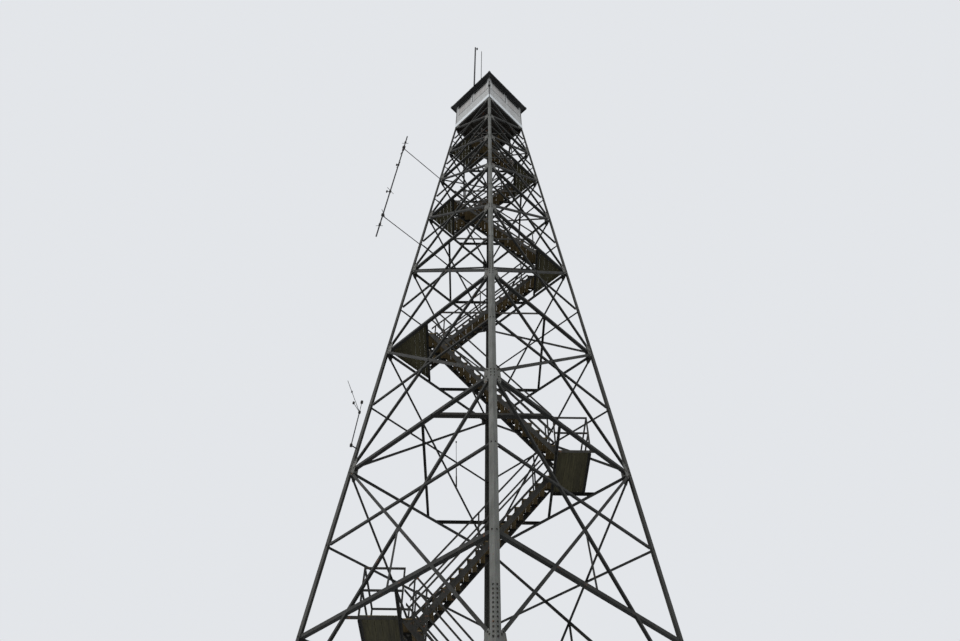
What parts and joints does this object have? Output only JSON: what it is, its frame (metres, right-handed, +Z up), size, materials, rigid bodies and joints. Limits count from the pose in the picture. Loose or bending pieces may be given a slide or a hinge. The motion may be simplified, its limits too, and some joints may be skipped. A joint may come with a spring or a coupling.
{
  "type": "fire lookout tower",
  "caption": "Tapering steel lattice lookout tower with a zigzag plank stair inside, landings, a small square cab and side antennas.",
  "frame": {"origin": "on the ground at the middle of the four footings, under the middle of the cab", "axes": "+Z up; the front corner points to +X and -Y, and the four sides face +X, +Y, -X and -Y"},
  "size_m": [7.4026, 7.4026, 39.25],
  "materials": {
    "antenna_metal": "dull grey",
    "brace_steel": "weathered galvanised",
    "cab_paint": "chalky off-white paint",
    "leg_steel": "weathered galvanised",
    "cab_planks": "weathered dark planks and joists",
    "roof_sheet": "dark weathered sheet",
    "stair_steel": "weathered galvanised",
    "concrete": "weathered concrete",
    "stair_planks": "weathered dark planks",
    "window_glass": "plain panes"
  },
  "bodies": {
    "root": {"antenna_array": "antenna_metal", "back_left_base_bracing": "brace_steel", "back_left_bracing": "brace_steel", "back_left_wall": "cab_paint", "back_leg": "leg_steel", "back_right_base_bracing": "brace_steel", "back_right_bracing": "brace_steel", "back_right_wall": "cab_paint", "cab_floor": "cab_planks", "cab_roof": "roof_sheet", "far_whip": "antenna_metal", "flight_1": "stair_steel", "flight_2": "stair_steel", "flight_3": "stair_steel", "flight_4": "stair_steel", "flight_5": "stair_steel", "flight_6": "stair_steel", "flight_7": "stair_steel", "flight_8": "stair_steel", "flight_9": "stair_steel", "footings": "concrete", "front_left_base_bracing": "brace_steel", "front_left_bracing": "brace_steel", "front_left_wall": "cab_paint", "front_leg": "leg_steel", "front_right_base_bracing": "brace_steel", "front_right_bracing": "brace_steel", "front_right_wall": "cab_paint", "landing_decks": "stair_planks", "landing_frame_1": "stair_steel", "landing_frame_2": "stair_steel", "landing_frame_3": "stair_steel", "landing_frame_4": "stair_steel", "landing_frame_5": "stair_steel", "landing_frame_6": "stair_steel", "landing_frame_7": "stair_steel", "landing_frame_8": "stair_steel", "left_leg": "leg_steel", "lower_treads": "stair_planks", "middle_treads": "stair_planks", "right_leg": "leg_steel", "roof_masts": "antenna_metal", "side_antenna": "antenna_metal", "upper_treads": "stair_planks", "window_glass": "window_glass"}
  },
  "joints": []
}
